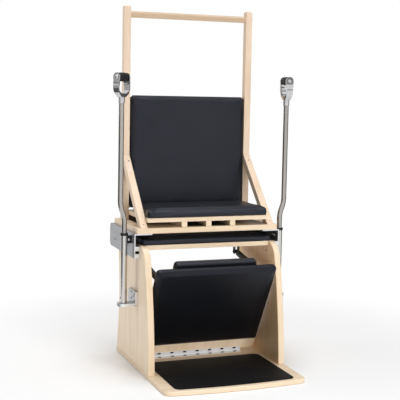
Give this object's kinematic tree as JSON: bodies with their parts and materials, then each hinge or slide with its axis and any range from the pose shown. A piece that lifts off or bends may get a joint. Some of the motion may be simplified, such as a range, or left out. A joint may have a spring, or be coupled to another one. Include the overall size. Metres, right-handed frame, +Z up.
{
  "type": "pilates chair",
  "caption": "Wooden pilates chair with a sprung padded pedal, lift-off high back, seat cushions and turning hand poles with swivelling grips.",
  "frame": {"origin": "on the floor, midway across the base and midway between its front and the rails' rear ends", "axes": "+X to the right seen from the front, +Y to the back, +Z up"},
  "size_m": [0.795, 0.7419, 1.518],
  "materials": {
    "wood": "satin clear lacquer on pale plywood",
    "vinyl": "matt black vinyl",
    "mat": "matt black",
    "rail": "satin",
    "steel": "brushed",
    "chrome": "polished",
    "black": "matt black",
    "dark_steel": "black",
    "spring": "dark"
  },
  "bodies": {
    "frame": {"base_board": "wood", "base_mat": "mat", "left_side_panel": "wood", "right_side_panel": "wood", "seat_board": "wood", "seat_cushion": "vinyl", "left_rail": "rail", "right_rail": "rail", "rail_bolts": "chrome", "clamp_bolts": "chrome", "left_sleeve": "steel", "right_sleeve": "steel", "left_clamp": "black", "right_clamp": "black", "left_bracket": "rail", "right_bracket": "rail", "hinge_base_leaf": "steel", "hinge_pin": "steel", "left_spring_hanger": "dark_steel", "right_spring_hanger": "dark_steel"},
    "pedal": {"hinge_pedal_leaf": "steel", "pedal_board": "wood", "pedal_pad": "vinyl", "step_pad": "vinyl", "left_pedal_eye": "dark_steel", "right_pedal_eye": "dark_steel"},
    "back_unit": {"lower_board": "wood", "left_joist": "wood", "middle_joist": "wood", "right_joist": "wood", "rear_batten": "wood", "upper_board": "wood", "upper_cushion": "vinyl", "left_post": "wood", "right_post": "wood", "left_brace": "wood", "right_brace": "wood", "top_dowel": "wood", "back_board": "wood", "back_cushion": "vinyl"},
    "left_link": {"left_spring_head": "dark_steel"},
    "left_coil": {"left_spring": "spring"},
    "left_tail": {"left_spring_tail": "dark_steel"},
    "left_turner": {"left_collar": "black"},
    "left_hand_pole": {"left_pole": "steel"},
    "left_handle": {"left_fork": "chrome", "left_grip_bolt": "chrome"},
    "left_roller": {"left_grip": "black"},
    "right_link": {"right_spring_head": "dark_steel"},
    "right_coil": {"right_spring": "spring"},
    "right_tail": {"right_spring_tail": "dark_steel"},
    "right_turner": {"right_collar": "black"},
    "right_hand_pole": {"right_pole": "steel"},
    "right_handle": {"right_fork": "chrome", "right_grip_bolt": "chrome"},
    "right_roller": {"right_grip": "black"}
  },
  "joints": [
    {"name": "pedal_hinge", "type": "hinge", "parent": "frame", "child": "pedal", "pos_m": [0, 0.106, 0.022], "axis": [1, 0, 0], "range_deg": [0, 52], "stiffness_Nm_per_rad": 150, "springref_deg": -6.88},
    {"name": "back_lift", "type": "slide", "parent": "frame", "child": "back_unit", "axis": [0, 0, 1], "range_m": [0, 0.3]},
    {"name": "left_spring_swing", "type": "hinge", "parent": "frame", "child": "left_link", "pos_m": [-0.233, 0.242, 0.438], "axis": [1, 0, 0], "range_deg": [-1, 22.77]},
    {"name": "left_spring_stretch", "type": "slide", "parent": "left_link", "child": "left_coil", "axis": [0, -0.9857, -0.1684], "range_m": [-0.002, 0.31227], "deforming": ["left_spring"]},
    {"name": "left_tail_swing", "type": "hinge", "parent": "pedal", "child": "left_tail", "pos_m": [-0.233, -0.05836, 0.38668], "axis": [1, 0, 0], "range_deg": [-31.23, 1]},
    {"name": "left_pole_turn", "type": "hinge", "parent": "frame", "child": "left_turner", "pos_m": [-0.3516, 0.046, 0.56], "axis": [0, 0, 1], "range_deg": [-90, 90]},
    {"name": "left_pole_height", "type": "slide", "parent": "left_turner", "child": "left_hand_pole", "axis": [0, 0, 1], "range_m": [-0.03, 0.15]},
    {"name": "left_handle_swivel", "type": "hinge", "parent": "left_hand_pole", "child": "left_handle", "pos_m": [-0.3696, 0.046, 1.117], "axis": [0, 0, 1], "continuous": true},
    {"name": "left_grip_spin", "type": "hinge", "parent": "left_handle", "child": "left_roller", "pos_m": [-0.3696, 0.046, 1.208], "axis": [0.848, 0.5299, 0], "continuous": true},
    {"name": "right_spring_swing", "type": "hinge", "parent": "frame", "child": "right_link", "pos_m": [0.233, 0.242, 0.438], "axis": [1, 0, 0], "range_deg": [-1, 22.77]},
    {"name": "right_spring_stretch", "type": "slide", "parent": "right_link", "child": "right_coil", "axis": [0, -0.9857, -0.1684], "range_m": [-0.002, 0.31227], "deforming": ["right_spring"]},
    {"name": "right_tail_swing", "type": "hinge", "parent": "pedal", "child": "right_tail", "pos_m": [0.233, -0.05836, 0.38668], "axis": [1, 0, 0], "range_deg": [-31.23, 1]},
    {"name": "right_pole_turn", "type": "hinge", "parent": "frame", "child": "right_turner", "pos_m": [0.3516, 0.046, 0.56], "axis": [0, 0, 1], "range_deg": [-90, 90]},
    {"name": "right_pole_height", "type": "slide", "parent": "right_turner", "child": "right_hand_pole", "axis": [0, 0, 1], "range_m": [-0.03, 0.15]},
    {"name": "right_handle_swivel", "type": "hinge", "parent": "right_hand_pole", "child": "right_handle", "pos_m": [0.3696, 0.046, 1.117], "axis": [0, 0, 1], "continuous": true},
    {"name": "right_grip_spin", "type": "hinge", "parent": "right_handle", "child": "right_roller", "pos_m": [0.3696, 0.046, 1.208], "axis": [0.0349, 0.9994, 0], "continuous": true}
  ],
  "couplings": [
    {"joint": "left_spring_swing", "follows": "pedal_hinge", "ratio": 0.41861},
    {"joint": "left_spring_stretch", "follows": "pedal_hinge", "m_per_rad": 0.34187},
    {"joint": "left_tail_swing", "follows": "pedal_hinge", "ratio": -0.58139},
    {"joint": "right_spring_swing", "follows": "pedal_hinge", "ratio": 0.41861},
    {"joint": "right_spring_stretch", "follows": "pedal_hinge", "m_per_rad": 0.34187},
    {"joint": "right_tail_swing", "follows": "pedal_hinge", "ratio": -0.58139}
  ]
}
